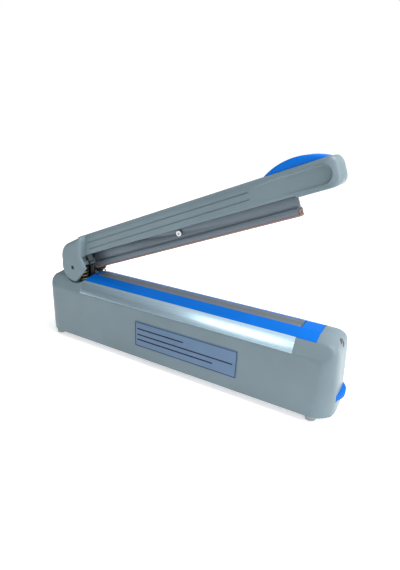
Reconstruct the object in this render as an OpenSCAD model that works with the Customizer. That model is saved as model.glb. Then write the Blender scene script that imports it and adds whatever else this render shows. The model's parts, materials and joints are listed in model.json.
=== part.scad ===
// Hand impulse heat sealer: a long base with a heated sealing strip on its ridge, and a
// spring-raised arm that presses a silicone strip down on it.
// +X runs from the hinge to the handle, +Y to the left of that, +Z up.
// The origin is on the table, in the middle of the base's length and width.
// The arm is drawn raised, as it stands when nobody presses it.

/* [Base] */
// Length of the grey base housing
body_l = 448; // [440:1:456]
// Width of the base housing at its bottom edge
body_w = 73; // [72:0.5:78]
// Width of the base housing at the fold where its flanks start to slope
shoulder_w = 70; // [70:0.5:72]
// Height of that fold above the table
shoulder_z = 81.5; // [80:0.5:83]
// Height of the sealing strip's top above the table
top_z = 105; // [105:0.1:105.4]
// Wall thickness of the housing
wall = 2.6; // [2.4:0.1:2.8]
// Height of the rubber feet
foot_h = 9; // [8:0.5:9.5]
// Diameter of the rubber feet
foot_d = 14; // [12:0.5:15]

/* [Sealing strip] */
// Length of the bright trim plates on the flanks
trim_l = 320; // [310:1:322]
// Length of the strip that seals
strip_l = 308; // [300:1:308]
// Width of the non-stick cloth over the strip
cloth_w = 18.5; // [18:0.1:18.6]
// Width of the blue bed that holds the strip
bed_w = 51; // [50:0.5:51]

/* [Arm] */
// How far the raised arm stands above its closed position, in degrees
open_angle = 21.4; // [20:0.1:21.4]
// Length of the arm from its pivot to the tip of the handle
arm_l = 393.5; // [388:0.5:396]
// Width of the arm's long casing
arm_w = 40; // [38:0.5:40]
// Width of the knuckle at the pivot end
hub_w = 60; // [59:0.5:60]
// Length of the aluminium press bar
bar_l = 316; // [310:1:316]

/* [Timer] */
// Diameter of the timer wheel that shows through the end of the base
wheel_d = 52; // [48:1:52]
// Thickness of the timer wheel
wheel_t = 8; // [7:0.5:8]

/* [Hidden] */

$fn = 48;
e = 0.01;
pivot_x = -body_l / 2 + 56; // the hinge line, across the knuckle at the rear end
pivot_z = top_z + 11.5;
hub_r = 23; // lower round of the knuckle
trough_r = hub_r + 1.2; // hollow in the base that the knuckle turns in
trim_x = 8; // middle of the trim plates
strip_x = 14; // middle of the sealing strip
ridge_w = 19.4; // flat top of the ridge
bed_edge_z = 99; // lower edge of the blue bed
bed_front = 191; // handle end of the blue bed
plate_t = 1.5; // steel base plate
floor_z = foot_h + plate_t;
foot_x = [-207.5, 196.5];
foot_y = 25;
pin_r = 3;
casing_bottom = 11.5; // these three heights are above the pivot, with the arm closed
casing_top = 40.3;
handle_bottom = 9;
handle_s = 345; // where the handle starts, along the arm
bar_s = 22; // where the press bar starts
web_w = 9.2;
screw_s = 181.8; // the press bar's one screw, along the arm and above the pivot
screw_u = 5.9;
plunger_x = pivot_x + 8.9;
spring_x = pivot_x + 12.4;
spring_y = 19;
spring_z = [93.1, pivot_z + 1.5];
wheel_x = body_l / 2 + 3 - wheel_d / 2;
wheel_z = 28;
lamp_a = 60; // the lamp's tilt on the rounded end
cord_z = 34; // middle of the cord's hole in the rear end

grey = [0.55, 0.60, 0.60];
blue = [0.05, 0.42, 0.90];
silver = [0.80, 0.82, 0.84];
steel = [0.62, 0.64, 0.67];
brass = [0.80, 0.65, 0.30];
dark = [0.13, 0.13, 0.14];

// ---- outlines ----------------------------------------------------------------------

function unit(v) = v / norm(v);

// The arc that rounds corner b between neighbours a and c with radius r.
function corner(a, b, c, r, n = 5) =
    r == 0 ? [b] :
    let(u = unit(a - b), v = unit(c - b), half = acos(u * v) / 2,
        mid = b + unit(u + v) * r / sin(half),
        p = b + u * r / tan(half) - mid, q = b + v * r / tan(half) - mid,
        start = atan2(p.y, p.x), sweep = atan2(p.x * q.y - p.y * q.x, p * q))
    [for (i = [0:n]) mid + r * [cos(start + sweep * i / n), sin(start + sweep * i / n)]];

// A polygon's points with every corner rounded by its own radius.
function rounded(pts, radii, n = 5) =
    let(k = len(pts))
    [for (i = [0:k - 1]) each corner(pts[(i + k - 1) % k], pts[i], pts[(i + 1) % k], radii[i], n)];

function mirrored(pts) = [for (i = [len(pts) - 1:-1:0]) [-pts[i].x, pts[i].y]];

// Cross-section of the base, in Y and Z, with its skin moved in by t.
function section(t) =
    let(half = [[body_w / 2 - t, 0], [shoulder_w / 2 - t, shoulder_z - 0.4 * t],
            [bed_w / 2 - 0.62 * t, bed_edge_z - 0.85 * t], [ridge_w / 2 - 0.2 * t, top_z - t]],
        r = [0, 9, 5, 3])
    rounded(concat(half, mirrored(half)), concat(r, [3, 5, 9, 0]), 3);

// Outline of the base from above: ends that bulge a little, and corners that are rounder
// at the handle end.
function plan(t) =
    let(x = body_l / 2 - t, y = body_w / 2 - t)
    rounded([[-x + 3.5, -y], [x - 3.5, -y], [x, 0], [x - 3.5, y], [-x + 3.5, y], [-x, 0]],
            [24 - t, 29 - t, 90, 29 - t, 24 - t, 90], 7);

// Outline of the base from the side, in X and Z: high round corners at both ends.
function side(t) =
    let(x = body_l / 2 - t, low = foot_h, high = top_z - t)
    rounded([[-x + 1, low], [x - 1, low], [x, low + 14], [x - 8, high], [-x + 8, high],
             [-x, low + 14]], [5, 5, 14, 24 - t, 24 - t, 14], 5);

module along_x(from, to) translate([from, 0, 0]) rotate([90, 0, 90]) linear_extrude(to - from)
    children();

module along_y(from, to) translate([0, to, 0]) rotate([90, 0, 0]) linear_extrude(to - from)
    children();

module box(x, y, z) translate([x[0], y[0], z[0]]) cube([x[1] - x[0], y[1] - y[0], z[1] - z[0]]);

module rod_y(x, z, r, y, fn = 48)
    translate([x, y[1], z]) rotate([90, 0, 0]) cylinder(r = r, h = y[1] - y[0], $fn = fn);

module both_sides() {
    children();
    mirror([0, 1, 0]) children();
}

// The base's outer form with its skin moved in by t.
module body_form(t) {
    intersection() {
        along_x(-body_l / 2, body_l / 2) polygon(section(t));
        along_y(-body_w, body_w) polygon(side(t));
        translate([0, 0, foot_h - 1]) linear_extrude(top_z) polygon(plan(t));
    }
}

// Puts flat work on the right-hand flank: X along the base, Y up the slope, Z outwards.
slope_rise = bed_edge_z - shoulder_z;
slope_run = (shoulder_w - bed_w) / 2;
slope_w = norm([slope_rise, slope_run]);
module on_slope() translate([0, -shoulder_w / 2, shoulder_z])
    rotate([atan2(slope_rise, slope_run), 0, 0]) children();

// A screw that points down from its place, with a round head.
module screw(d, l, head_d, head_h) {
    translate([0, 0, -l]) cylinder(d = d, h = l + e);
    difference() {
        cylinder(d = head_d, h = head_h);
        for (a = [0, 90]) rotate(a)
            translate([-head_d * 0.3, -0.4, head_h * 0.5]) cube([head_d * 0.6, 0.8, head_h]);
    }
}

// A round-wire coil spring standing on its lower end.
module coil_spring(d, wire, l, turns) {
    per = 16;
    ring = 8;
    steps = turns * per;
    pts = [for (i = [0:steps], j = [0:ring - 1])
        let(a = i * 360 / per, w = j * 360 / ring,
            r = d / 2 + wire / 2 * cos(w), z = wire / 2 + (l - wire) * i / steps)
        [r * cos(a), r * sin(a), z + wire / 2 * sin(w)]];
    sides = [for (i = [0:steps - 1], j = [0:ring - 1])
        [i * ring + j, i * ring + (j + 1) % ring, (i + 1) * ring + (j + 1) % ring, (i + 1) * ring + j]];
    ends = [[for (j = [ring - 1:-1:0]) j], [for (j = [0:ring - 1]) steps * ring + j]];
    polyhedron(pts, concat(sides, ends));
}

// ---- base housing --------------------------------------------------------------------

module trough(r, y) rod_y(pivot_x, pivot_z, r, [-y, y], 96);

module trim_seats() both_sides() on_slope() translate([trim_x - trim_l / 2 - 0.2, 0.5, -0.8])
    cube([trim_l + 0.4, slope_w - 0.4, 3]);

rib_x = [-118, 159.5]; // cross walls that carry the bed
module base_shell() {
    color(grey) difference() {
        union() {
            difference() {
                body_form(0);
                body_form(wall);
                box([-body_l, body_l], [-28, 28], [foot_h - 2, foot_h + 3]);
                translate([0, 0, foot_h - 2]) linear_extrude(2 + plate_t + 0.1) polygon(plan(1.5));
            }
            // ledges under the edges of the blue bed, and the walls of the trough
            intersection() {
                body_form(e);
                union() {
                    difference() {
                        box([pivot_x, bed_front + 5], [-29, 29], [88, 105]);
                        along_x(-body_l / 2, body_l / 2) polygon(section(5.6));
                    }
                    trough(trough_r + wall, body_w);
                    both_sides() translate([spring_x, spring_y, 90.5]) cylinder(r = 8, h = 8);
                    translate([plunger_x, 0, 88]) cylinder(r = 5.2, h = 8);
                    translate([-body_l / 2, 0, cord_z]) rotate([0, 90, 0]) cylinder(r = 10.5, h = 6.6);
                }
            }
            // cross walls and screw posts
            intersection() {
                body_form(wall / 2);
                union() {
                    for (x = rib_x) {
                        box([x - 1.5, x + 1.5], [-40, 40], [floor_z + 5, 69.9]);
                        translate([x, 0, floor_z + 5]) cylinder(r = 5, h = 81.9 - floor_z - 5);
                    }
                    for (x = foot_x, y = [-1, 1]) {
                        translate([x, y * foot_y, floor_z + 0.05]) cylinder(r = 5, h = 10.4);
                        translate([x, y * (foot_y + 7), floor_z + 5.25])
                            cube([2.4, 14, 10.4], center = true);
                    }
                }
            }
        }
        trough(trough_r, body_w);
        // the blue bed's seat and the opening under it
        intersection() {
            difference() {
                box([pivot_x, bed_front + 0.15], [-bed_w / 2 - 0.1, bed_w / 2 + 0.1], [90, 110]);
                along_x(-body_l / 2, body_l / 2) polygon(section(3.1));
            }
            along_x(-body_l / 2, body_l / 2) polygon(section(-1));
        }
        box([pivot_x + 26.5, bed_front - 3], [-17, 17], [70, 110]);
        // seats for the trim plates
        trim_seats();
        // slots for the hinge bracket, pockets for the springs and the plunger's guide
        both_sides() box([pivot_x - 8.4, pivot_x + 8.4], [5.3, 7.9], [80, 110]);
        both_sides() translate([spring_x, spring_y, spring_z[0] - 0.1]) cylinder(r = 6.4, h = 20);
        translate([plunger_x, 0, 80]) cylinder(r = 3.15, h = 30);
        // timer wheel slot, lamp hole and cord hole
        intersection() {
            translate([wheel_x, 0, wheel_z - 0.8]) cylinder(r = wheel_d / 2 + 0.8, h = wheel_t + 1.6, $fn = 96);
            box([204, body_l], [-body_w, body_w], [0, 60]);
        }
        lamp_place() translate([0, 0, -12]) cylinder(r = 4.9, h = 20);
        translate([-body_l / 2 - 5, 0, cord_z]) rotate([0, 90, 0]) {
            cylinder(r = 6, h = 20);
            cylinder(r = 8.8, h = 7.05);
        }
        // holes for the screws
        for (x = foot_x, y = [-foot_y, foot_y]) translate([x, y, 0]) cylinder(r = 1.6, h = 30);
        for (x = rib_x) translate([x, 0, 68]) cylinder(r = 1.55, h = 20);
    }
}

module base_plate() {
    color(steel) difference() {
        intersection() {
            translate([0, 0, foot_h]) linear_extrude(plate_t) polygon(plan(1.8));
            box([-body_l / 2 + 6.5, body_l / 2 - 6.5], [-body_w, body_w], [0, 20]);
        }
        for (x = foot_x, y = [-foot_y, foot_y]) translate([x, y, 0]) cylinder(r = 2.1, h = 20);
        for (x = [-12 - 39.5, -12 + 39.5]) translate([x, 0, 0]) cylinder(r = 1.7, h = 20);
        for (x = [pivot_x - 11, pivot_x + 11], y = [-14, 14])
            translate([x, y, 0]) cylinder(r = 1.7, h = 20);
        // cooling slots under the transformer
        for (i = [-4:4], y = [-24, 24])
            box([i * 9 - 14, i * 9 - 10], [y - 5, y + 5], [0, 20]);
    }
}

module foot_at() for (x = foot_x, y = [-foot_y, foot_y]) translate([x, y, 0]) children();

module feet() {
    color([0.45, 0.48, 0.48]) foot_at() difference() {
        rotate_extrude() polygon(rounded([[0, 0], [foot_d / 2 - 0.8, 0],
            [foot_d / 2, foot_h - 0.05], [0, foot_h - 0.05]], [0, 1.5, 0.5, 0], 4));
        translate([0, 0, -e]) cylinder(r = 3.6, h = 3);
        cylinder(r = 1.9, h = foot_h + 1);
    }
}

module foot_screws() {
    color(steel) foot_at() translate([0, 0, 2.9]) rotate([180, 0, 0]) screw(3, 16, 6.6, 2.2);
}

module trim_plate() {
    difference() {
        on_slope() translate([trim_x - trim_l / 2, 0.6, -0.75]) cube([trim_l, slope_w - 0.7, 1.2]);
        trough(trough_r + 0.5, body_w);
    }
}

module trim_plate_right() {
    color(silver) trim_plate();
}

module trim_plate_left() {
    color(silver) mirror([0, 1, 0]) trim_plate();
}

module data_plate() {
    tilt = atan2((body_w - shoulder_w) / 2, shoulder_z);
    color([0.52, 0.58, 0.64]) translate([26.5, -body_w / 2, 0]) rotate([-tilt, 0, 0])
        translate([0, 0, 46]) difference() {
            along_y(-0.6, -0.02) polygon(rounded([[-77.5, -19], [77.5, -19], [77.5, 19], [-77.5, 19]],
                [1.5, 1.5, 1.5, 1.5], 4));
            // a shallow printed frame, cut as a groove
            along_y(-0.7, -0.45) difference() {
                square([153, 36], center = true);
                square([151.4, 34.4], center = true);
            }
        }
}

// ---- sealing bed ---------------------------------------------------------------------

module bed_frame() {
    x0 = strip_x - strip_l / 2;
    x1 = strip_x + strip_l / 2;
    color(blue) difference() {
        intersection() {
            box([pivot_x, bed_front], [-bed_w / 2, bed_w / 2], [90, 110]);
            along_x(-body_l / 2, body_l / 2) polygon(section(0.02));
        }
        along_x(-body_l / 2, body_l / 2) polygon(section(3));
        trough(trough_r + 0.1, body_w);
        box([x0 - 1, x1 + 1], [-cloth_w / 2 - 0.1, cloth_w / 2 + 0.1], [80, 120]);
        trim_seats();
        both_sides() translate([spring_x, spring_y, spring_z[0] - 0.1]) cylinder(r = 6.4, h = 20);
    }
}

bar_x = [strip_x - strip_l / 2 + 0.1, strip_x + strip_l / 2 - 0.1];

module seal_bar() {
    color([0.36, 0.22, 0.14]) box(bar_x, [-cloth_w / 2 + 0.35, cloth_w / 2 - 0.35], [84, top_z - 0.8]);
}

module heating_ribbon() {
    t = 0.25;
    color([0.75, 0.73, 0.70]) {
        box([bar_x[0] - 0.3, bar_x[1] + 0.3], [-1.5, 1.5], [top_z - 0.75, top_z - 0.75 + t]);
        for (x = [bar_x[0] - 0.05 - t, bar_x[1] + 0.05])
            box([x, x + t], [-1.5, 1.5], [86, top_z - 0.6]);
    }
}

module nonstick_cloth() {
    w = cloth_w / 2;
    color([0.48, 0.44, 0.40]) difference() {
        box(bar_x, [-w, w], [97, top_z - 0.1]);
        box([bar_x[0] - 1, bar_x[1] + 1], [-w + 0.3, w - 0.3], [90, top_z - 0.45]);
    }
}

module at_terminals() {
    translate([bar_x[0] - 0.32, 0, 92]) children();
    translate([bar_x[1] + 0.32, 0, 92]) mirror([1, 0, 0]) children();
}

module ribbon_terminals() {
    color(brass) at_terminals() difference() {
        box([-4.5, 0], [-6, 6], [-6, 6]);
        rotate([0, 90, 0]) for (y = [-4, 4]) translate([0, y, -10]) cylinder(r = 1.3, h = 20);
    }
}

module terminal_screws() {
    color(steel) at_terminals() for (y = [-4, 4])
        translate([-4.55, y, 0]) rotate([0, -90, 0]) screw(2.4, 4.4, 3.6, 1.4);
}

module bed_carrier() {
    y = 14;
    color(steel) difference() {
        box([-136, 164], [-y, y], [70, 83.9]);
        box([-137, 165], [-y + 1.5, y - 1.5], [60, 82]);
        for (x = rib_x) translate([x, 0, 70]) cylinder(r1 = 1.7, r2 = 1.7, h = 20);
        for (x = rib_x) translate([x, 0, 82.3]) cylinder(r = 3.4, h = 3);
    }
}

module carrier_screws() {
    color(steel) for (x = rib_x) translate([x, 0, 82.35]) screw(3, 12, 6.4, 1.5);
}

// ---- power and timing ----------------------------------------------------------------

core_x = -12; // middle of the transformer
module transformer_core() {
    color([0.30, 0.31, 0.33]) difference() {
        box([core_x - 33, core_x + 33], [-17, 17], [floor_z + 0.05, floor_z + 55]);
        for (s = [-1, 1]) translate([core_x + s * 16.5, 0, floor_z + 27.5])
            cube([11, 40, 33], center = true);
    }
}

module transformer_coil() {
    color([0.70, 0.38, 0.16]) difference() {
        translate([core_x, 0, floor_z + 27.5]) linear_extrude(32, center = true)
            polygon(rounded([[-21.6, -27], [21.6, -27], [21.6, 27], [-21.6, 27]], [6, 6, 6, 6], 4));
        translate([core_x, 0, floor_z + 27.5]) cube([22.3, 34.4, 40], center = true);
    }
}

module transformer_strap() {
    t = 1.2;
    color(steel) difference() {
        union() {
            box([core_x - 33.1 - t, core_x + 33.1 + t], [-13, 13], [floor_z + 0.05, floor_z + 55.1 + t]);
            box([core_x - 46, core_x + 46], [-13, 13], [floor_z + 0.05, floor_z + t]);
        }
        box([core_x - 33.1, core_x + 33.1], [-20, 20], [0, floor_z + 55.1]);
        for (s = [-1, 1]) translate([core_x + s * 39.5, 0, 0]) cylinder(r = 1.7, h = 20);
    }
}

module strap_screws() {
    color(steel) for (s = [-1, 1]) translate([core_x + s * 39.5, 0, floor_z + 1.25])
        screw(3, 2.6, 6, 2);
}

board = [[52, 132], [-27, 27]];
board_z = floor_z + 7;
module at_posts() for (x = [board[0][0] + 5, board[0][1] - 5], y = [-22, 22])
    translate([x, y, 0]) children();

module timer_board() {
    color([0.10, 0.36, 0.20]) difference() {
        box(board[0], board[1], [board_z, board_z + 1.6]);
        at_posts() cylinder(r = 1.7, h = 40);
    }
}

module board_posts() {
    color(brass) at_posts() difference() {
        translate([0, 0, floor_z + 0.02]) cylinder(r = 2.8, h = 6.96);
        cylinder(r = 1.3, h = 40);
    }
}

module board_screws() {
    color(steel) at_posts() translate([0, 0, board_z + 1.62]) screw(2.4, 6, 5, 1.8);
}

module timer_relay() {
    color([0.10, 0.12, 0.16]) box([60, 79], [-8, 8], [board_z + 1.62, board_z + 17.6]);
}

module timer_capacitors() {
    color([0.12, 0.16, 0.30]) for (p = [[92, -12, 6.3, 20], [92, 8, 5, 16], [108, -14, 4, 12]])
        translate([p[0], p[1], board_z + 1.62]) cylinder(r = p[2], h = p[3]);
}

module timer_chip() {
    color(dark) box([104, 114], [3, 10], [board_z + 1.62, board_z + 5.2]);
}

module pot_board() {
    color([0.10, 0.36, 0.20])
        box([wheel_x - 15, wheel_x + 15], [-15, 15], [floor_z + 0.05, floor_z + 1.6]);
}

module pot_body() {
    color(steel) difference() {
        translate([wheel_x, 0, floor_z + 1.65]) cylinder(r = 12, h = 8.2);
        translate([wheel_x, 0, floor_z + 3]) cylinder(r = 3.05, h = 20);
    }
}

module pot_shaft() {
    color(silver) translate([wheel_x, 0, floor_z + 3.2])
        cylinder(r = 3, h = wheel_z + wheel_t - floor_z - 4.7);
}

module timer_wheel() {
    teeth = 60;
    color(blue) difference() {
        translate([wheel_x, 0, wheel_z]) rotate_extrude($fn = 96) polygon(rounded([[0, 0],
            [wheel_d / 2, 0], [wheel_d / 2, wheel_t], [0, wheel_t]], [0, 1, 1, 0], 3));
        // blind hole for the shaft, and finger grooves round the rim
        translate([wheel_x, 0, wheel_z - e]) cylinder(r = 3.02, h = wheel_t - 1.4);
        for (i = [0:teeth - 1]) rotate_about(wheel_x, i * 360 / teeth)
            translate([wheel_d / 2 + 0.35, 0, wheel_z - 1]) cylinder(r = 0.9, h = wheel_t + 2, $fn = 16);
    }
}

module rotate_about(x, a) translate([x, 0, 0]) rotate(a) children();

// The lamp sits on the round of the handle end.
module lamp_place() translate([body_l / 2 - 8 - 23.4, 0, top_z - 23.4])
    rotate([0, lamp_a, 0]) translate([0, 0, 23]) children();

module lamp_lens() {
    color([0.25, 0.03, 0.03]) lamp_place() difference() {
        union() {
            translate([0, 0, -6]) cylinder(r = 4.8, h = 6);
            intersection() {
                translate([0, 0, -9]) sphere(r = 11, $fn = 64);
                cylinder(r = 4.8, h = 3);
            }
        }
        translate([0, 0, -7]) cylinder(r = 3.8, h = 6);
    }
}

module lamp_body() {
    color([0.85, 0.84, 0.80]) lamp_place() {
        translate([0, 0, -20]) cylinder(r = 3.6, h = 18.5);
        translate([0, 0, -10]) cylinder(r = 6.5, h = 3.9);
    }
}

module cord_grommet() {
    x = -body_l / 2;
    color(dark) translate([x, 0, cord_z]) rotate([0, 90, 0]) rotate_extrude()
        polygon(rounded([[3.4, -3], [6.2, -3], [6.8, -0.9], [8.5, -0.9], [8.5, 2],
            [5.95, 2], [5.95, 6.65], [8, 6.65], [7.4, 9], [3.4, 9]],
            [0.6, 0.8, 0.3, 0.8, 0, 0, 0, 0.3, 0.6, 0.3], 4));
}

// ---- hinge, springs and switch --------------------------------------------------------

module hinge_bracket() {
    color(steel) difference() {
        union() {
            both_sides() {
                box([pivot_x - 16, pivot_x + 16], [5.6, 7.6], [floor_z + 0.05, 84]);
                box([pivot_x - 8, pivot_x + 8], [5.6, 7.6], [80, pivot_z]);
                rod_y(pivot_x, pivot_z, 8, [5.6, 7.6]);
                box([pivot_x - 16, pivot_x + 16], [5.6, 20], [floor_z + 0.05, floor_z + 2]);
            }
            box([pivot_x - 16, pivot_x + 16], [-6, 6], [floor_z + 0.05, floor_z + 2]);
        }
        rod_y(pivot_x, pivot_z, pin_r + 0.06, [-20, 20]);
        for (x = [-11.1, 11.1]) rod_y(pivot_x + x, 68.5, 1.55, [-20, 20]);
        for (x = [-11, 11], y = [-14, 14]) translate([pivot_x + x, y, 0]) cylinder(r = 1.7, h = 20);
    }
}

module bracket_screws() {
    color(steel) for (x = [-11, 11], y = [-14, 14])
        translate([pivot_x + x, y, floor_z + 2.05]) screw(3, 3.4, 6, 2);
}

switch_z = [65.5, 81.2];
module limit_switch() {
    color(dark) difference() {
        union() {
            box([pivot_x - 13.9, pivot_x + 13.9], [-5.1, 5.1], switch_z);
            translate([plunger_x, 0, switch_z[1] - e]) cylinder(r = 1.6, h = 1.1);
            for (x = [-9, 0, 9]) box([pivot_x + x - 2, pivot_x + x + 2], [-0.4, 0.4],
                [switch_z[0] - 7, switch_z[0] + e]);
        }
        for (x = [-11.1, 11.1]) rod_y(pivot_x + x, 68.5, 1.55, [-20, 20]);
    }
}

module switch_screws() {
    color(steel) for (x = [-11.1, 11.1]) translate([pivot_x + x, 7.65, 68.5])
        rotate([-90, 0, 0]) screw(2.9, 17, 5.6, 2);
}

module switch_plunger() {
    top = pivot_z - 0.8;
    color(dark) translate([plunger_x, 0, 0]) {
        translate([0, 0, 86.2]) cylinder(r = 3.05, h = top - 86.2);
        translate([0, 0, 86.2]) cylinder(r = 4.4, h = 1.6);
    }
}

module return_springs() {
    color(brass) both_sides() translate([spring_x, spring_y, spring_z[0]])
        coil_spring(9.2, 1.8, spring_z[1] - spring_z[0], 6);
}

// ---- arm -------------------------------------------------------------------------------
// Everything below is drawn with the arm closed and the pivot at the origin: X along the
// arm, Z above the pivot. arm_place() raises it and puts it on the base.

module arm_place() translate([pivot_x, 0, pivot_z]) rotate([0, -open_angle, 0]) children();

// The knuckle from the side, with its skin moved in by t: two rounds, cut off below and
// towards the long casing.
module knuckle(t) {
    intersection() {
        difference() {
            union() {
                circle(r = hub_r - t, $fn = 96);
                translate([7, 11]) circle(r = 25 - t, $fn = 96);
                polygon([[7, 36 - t], [34, 38.5 - t], [34, -5], [7, -16]]);
            }
            translate([-5, -22.5 + t]) rotate(27.5) translate([0, -40]) square([60, 40]);
        }
        polygon([[-40, -40], [23.5, -40], [23.5, -8], [20.8, 10.5], [32, 33], [32, 60], [-40, 60]]);
    }
}

// Cross-section of the long casing, in Y and Z, with its skin moved in by t.
function casing_section(t, low) =
    let(half = [[arm_w / 2 - t, low], [arm_w / 2 - 1.8 - t, casing_top - t]])
    rounded(concat(half, mirrored(half)), [0, 8 - t, 8 - t, 0], 5);

// The casing and handle from the side.
function casing_side() =
    rounded([[14, casing_bottom], [handle_s - 4, casing_bottom], [handle_s, handle_bottom],
             [arm_l, handle_bottom], [arm_l, casing_top], [14, casing_top]],
            [0, 0, 0, 12, 13, 0], 7);

// The casing and handle from above: the tip is round.
function casing_plan() =
    rounded([[14, -30], [30, -30], [42, -arm_w / 2], [arm_l, -arm_w / 2], [arm_l, arm_w / 2],
             [42, arm_w / 2], [30, 30], [14, 30]], [0, 0, 0, 19, 19, 0, 0, 0], 8);

module casing_form() {
    intersection() {
        along_x(14, arm_l) polygon(casing_section(0, 0));
        along_y(-40, 40) polygon(casing_side());
        linear_extrude(60) polygon(casing_plan());
    }
}

// The hollow for a finger in the handle's side: deep at the tip, running out rearwards.
module finger_scoop() {
    translate([302, -arm_w / 2 + 0.9, 0]) rotate([0, 0, 3]) along_y(-9, 0)
        polygon(rounded([[0, 15.5], [81, 15.5], [81, 35], [0, 35]], [3, 9.5, 9.5, 3], 7));
}

module arm_casing() {
    color(grey) arm_place() difference() {
        union() {
            difference() {
                union() {
                    casing_form();
                    along_y(-hub_w / 2, hub_w / 2) knuckle(0);
                }
                // inside of the knuckle and of the long casing
                difference() {
                    along_y(-hub_w / 2 + 4, hub_w / 2 - 4) knuckle(wall);
                    // the knuckle stays closed in front, above the casing's lower edge
                    both_sides() along_y(15.5, hub_w / 2) polygon([[17.6, casing_bottom - 1],
                        [29, 33.5], [29, 60], [60, 60], [60, casing_bottom - 1]]);
                }
                box([14, 40], [-15.5, 15.5], [-40, casing_top - 4.5]);
                along_x(30, handle_s - 8) polygon(casing_section(2.4, -20));
                along_x(handle_s - 9, arm_l - 16)
                    polygon(rounded([[11, -20], [11, 34], [-11, 34], [-11, -20]], [0, 5, 5, 0], 4));
                box([-60, 60], [-hub_w / 2 + 4, hub_w / 2 - 4], [-40, -9]);
            }
            // noses that press on the springs and on the plunger, with their webs
            both_sides() {
                rod_y(13, 1, 4, [13.2, 26.5]);
                box([11.5, 14.5], [13.2, 26.5], [1, 34]);
            }
            rod_y(9, -1, 3, [-4.7, 4.7]);
            box([7.5, 10.5], [-4.7, 4.7], [-1, 34]);
            // cross walls and the tongue that carries the press bar
            for (s = [80, screw_s, 290]) difference() {
                intersection() {
                    box([s - 1.2, s + 1.2], [-18, 18], [casing_bottom + 1, 38.5]);
                    along_x(s - 2, s + 2) polygon(casing_section(1, 0));
                }
                box([s - 5, s + 5], [-5.2, 5.2], [0, 22]);
            }
            box([screw_s - 6, screw_s + 6], [-2.4, 2.4], [2, 30]);
            for (s = [352, 364]) box([s - 1, s + 1], [-12, 12], [20, 35]);
        }
        rod_y(0, 0, pin_r + 0.02, [-40, 40]);
        both_sides() finger_scoop();
        // seat for the pad
        box([310.5, 381.5], [-13.2, 13.2], [casing_top - 1.6, 60]);
        // two fine lines along each side
        both_sides() for (g = [[18.9, 0.5], [27.9, 0.25]])
            translate([34, arm_w / 2 - 0.6 - 0.045 * g[0], g[0] - 0.6])
                rotate([0, -g[1], 0]) cube([259, 4, 1.1]);
        rod_y(screw_s, screw_u, 2.05, [-10, 10]);
        // clearance round the bar's web
        box([screw_s - 20, screw_s - 6.1], [-5.2, 5.2], [0, 22]);
        box([screw_s + 6.1, screw_s + 20], [-5.2, 5.2], [0, 22]);
    }
}

module handle_pad() {
    r = 71.2; // the pad's crown is one long arc
    crown = 49.4;
    color(blue) arm_place() intersection() {
        translate([346, 0, crown - r]) rotate([90, 0, 0]) cylinder(r = r, h = 60, center = true, $fn = 128);
        along_x(310.8, 381.2) polygon(rounded([[13, casing_top - 1.5], [13, 60], [-13, 60],
            [-13, casing_top - 1.5]], [0, 0, 0, 0]));
    }
}

module press_bar() {
    color(silver) arm_place() difference() {
        union() {
            box([bar_s, bar_s + bar_l], [-web_w / 2, web_w / 2], [-2.5, 20]);
            box([bar_s, bar_s + bar_l], [-8.6, 8.6], [-8.6, -2.2]);
        }
        box([bar_s - 1, bar_s + bar_l + 1], [-6.9, 6.9], [-7.1, -3.8]);
        box([bar_s - 1, bar_s + bar_l + 1], [-5.1, 5.1], [-12, -5]);
        box([screw_s - 6.5, screw_s + 6.5], [-2.7, 2.7], [0.5, 24]);
        rod_y(screw_s, screw_u, 2.05, [-10, 10]);
    }
}

module silicone_strip() {
    color([0.52, 0.25, 0.20]) arm_place() difference() {
        union() {
            box([bar_s, bar_s + bar_l + 1], [-6.7, 6.7], [-7.0, -3.9]);
            box([bar_s, bar_s + bar_l + 1], [-5, 5], [-9.6, -5]);
            along_x(bar_s, bar_s + bar_l + 1) polygon(rounded([[-6.4, -11.45], [6.4, -11.45], [6.4, -8.75],
                [-6.4, -8.75]], [2, 2, 0.5, 0.5], 3));
        }
        along_x(bar_s - 1, bar_s + bar_l + 2) translate([0, -7.4]) circle(r = 2);
    }
}

module bar_screw() {
    color(silver) arm_place() translate([screw_s, -web_w / 2 - 0.05, screw_u])
        rotate([90, 0, 0]) screw(4, 12, 7.6, 2.6);
}

module hinge_pin() {
    color(steel) arm_place() {
        rod_y(0, 0, pin_r, [-hub_w / 2 + 0.7, hub_w / 2 - 0.7]);
    }
}

module hinge_sleeves() {
    color([0.88, 0.87, 0.82]) arm_place() both_sides() difference() {
        rod_y(0, 0, 5, [8, hub_w / 2 - 4.2]);
        rod_y(0, 0, pin_r + 0.03, [0, 40]);
    }
}

base_shell();
base_plate();
feet();
foot_screws();
trim_plate_right();
trim_plate_left();
bed_frame();
seal_bar();
heating_ribbon();
nonstick_cloth();
ribbon_terminals();
terminal_screws();
bed_carrier();
carrier_screws();
data_plate();
transformer_core();
transformer_coil();
transformer_strap();
strap_screws();
timer_board();
board_posts();
board_screws();
timer_relay();
timer_capacitors();
timer_chip();
pot_board();
pot_body();
pot_shaft();
timer_wheel();
lamp_lens();
lamp_body();
cord_grommet();
hinge_bracket();
bracket_screws();
limit_switch();
switch_screws();
switch_plunger();
return_springs();
hinge_pin();
hinge_sleeves();
arm_casing();
handle_pad();
press_bar();
silicone_strip();
bar_screw();
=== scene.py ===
import json
import math

import bmesh
import bpy
import numpy as np
from mathutils import Matrix, Vector


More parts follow.
